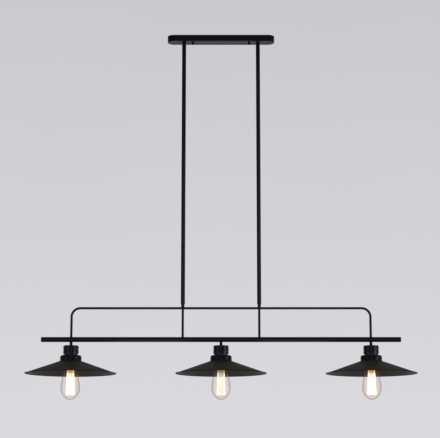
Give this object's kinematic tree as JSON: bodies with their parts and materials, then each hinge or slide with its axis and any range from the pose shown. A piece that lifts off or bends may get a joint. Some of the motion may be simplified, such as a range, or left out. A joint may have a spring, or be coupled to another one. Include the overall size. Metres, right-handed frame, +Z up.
{
  "type": "linear island pendant",
  "caption": "Linear island pendant: oblong ceiling canopy, twin drop rods, bowed rod frame on a round bar, and wide shallow metal shades over long filament bulbs that unscrew.",
  "frame": {"origin": "middle of the ceiling face, on the top of the mounting bracket in the plane of the canopy's rim", "axes": "+X along the bar, +Z up into the ceiling; everything hangs below the origin"},
  "size_m": [1.304, 0.304, 1.2542],
  "materials": {
    "matte_black_metal": "satin black powder coat",
    "shade_black_metal": "satin black powder coat, slightly warm",
    "zinc_plated_steel": "zinc plated",
    "black_thermoset": "black moulded thermoset",
    "pale_plastic": "moulded nylon",
    "brass": "plain brass",
    "lamp_cap_brass": "rolled brass",
    "lamp_glass": "clear with a faint warm tint",
    "lamp_stem_glass": "clear lead glass",
    "lamp_foot_glass": "black fused glass with a soldered eyelet",
    "filament_wire": "glowing tungsten wire",
    "wire_insulation": "heat resistant insulation",
    "ground_insulation": "green insulation"
  },
  "bodies": {
    "fixture": {"canopy": "matte_black_metal", "mounting_bracket": "zinc_plated_steel", "bracket_studs": "zinc_plated_steel", "stud_nuts": "zinc_plated_steel", "canopy_cap_nuts": "matte_black_metal", "terminal_block": "pale_plastic", "terminal_screws": "zinc_plated_steel", "ground_screw": "zinc_plated_steel", "ground_wire": "ground_insulation", "rod_nipples": "zinc_plated_steel", "rod_washers": "zinc_plated_steel", "rod_lock_nuts": "zinc_plated_steel", "down_rod_left": "matte_black_metal", "down_rod_right": "matte_black_metal", "rod_couplers": "matte_black_metal", "stem_left": "matte_black_metal", "stem_right": "matte_black_metal", "bow_left": "matte_black_metal", "bow_right": "matte_black_metal", "bow_bridge": "matte_black_metal", "crossbar": "matte_black_metal", "bar_end_caps": "matte_black_metal", "socket_nipples": "matte_black_metal", "socket_lock_nuts": "zinc_plated_steel", "screw_shells": "brass", "centre_contacts": "brass", "holder_terminals": "brass", "socket_cup_left": "matte_black_metal", "holder_cap_left": "black_thermoset", "lamp_holder_left": "black_thermoset", "shade_left": "shade_black_metal", "shade_ring_left": "black_thermoset", "socket_cup_middle": "matte_black_metal", "holder_cap_middle": "black_thermoset", "lamp_holder_middle": "black_thermoset", "shade_middle": "shade_black_metal", "shade_ring_middle": "black_thermoset", "socket_cup_right": "matte_black_metal", "holder_cap_right": "black_thermoset", "lamp_holder_right": "black_thermoset", "shade_right": "shade_black_metal", "shade_ring_right": "black_thermoset", "wires_left": "wire_insulation", "wires_middle": "wire_insulation", "wires_right": "wire_insulation"},
    "foot_left": {"bulb_foot_left": "lamp_foot_glass"},
    "bulb_left": {"bulb_cap_left": "lamp_cap_brass", "bulb_glass_left": "lamp_glass", "bulb_mount_left": "lamp_stem_glass", "filament_left": "filament_wire"},
    "foot_middle": {"bulb_foot_middle": "lamp_foot_glass"},
    "bulb_middle": {"bulb_cap_middle": "lamp_cap_brass", "bulb_glass_middle": "lamp_glass", "bulb_mount_middle": "lamp_stem_glass", "filament_middle": "filament_wire"},
    "foot_right": {"bulb_foot_right": "lamp_foot_glass"},
    "bulb_right": {"bulb_cap_right": "lamp_cap_brass", "bulb_glass_right": "lamp_glass", "bulb_mount_right": "lamp_stem_glass", "filament_right": "filament_wire"}
  },
  "joints": [
    {"name": "bulb_left_travel", "type": "slide", "parent": "fixture", "child": "foot_left", "axis": [0, 0, -1], "range_m": [0, 0.01815]},
    {"name": "bulb_left_unscrew", "type": "hinge", "parent": "foot_left", "child": "bulb_left", "pos_m": [-0.5, 0, -1.13], "axis": [0, 0, -1], "range_deg": [0, 1800]},
    {"name": "bulb_middle_travel", "type": "slide", "parent": "fixture", "child": "foot_middle", "axis": [0, 0, -1], "range_m": [0, 0.01815]},
    {"name": "bulb_middle_unscrew", "type": "hinge", "parent": "foot_middle", "child": "bulb_middle", "pos_m": [0, 0, -1.13], "axis": [0, 0, -1], "range_deg": [0, 1800]},
    {"name": "bulb_right_travel", "type": "slide", "parent": "fixture", "child": "foot_right", "axis": [0, 0, -1], "range_m": [0, 0.01815]},
    {"name": "bulb_right_unscrew", "type": "hinge", "parent": "foot_right", "child": "bulb_right", "pos_m": [0.5, 0, -1.13], "axis": [0, 0, -1], "range_deg": [0, 1800]}
  ],
  "couplings": [
    {"joint": "bulb_left_travel", "follows": "bulb_left_unscrew", "m_per_rad": 0.00057757},
    {"joint": "bulb_middle_travel", "follows": "bulb_middle_unscrew", "m_per_rad": 0.00057757},
    {"joint": "bulb_right_travel", "follows": "bulb_right_unscrew", "m_per_rad": 0.00057757}
  ]
}
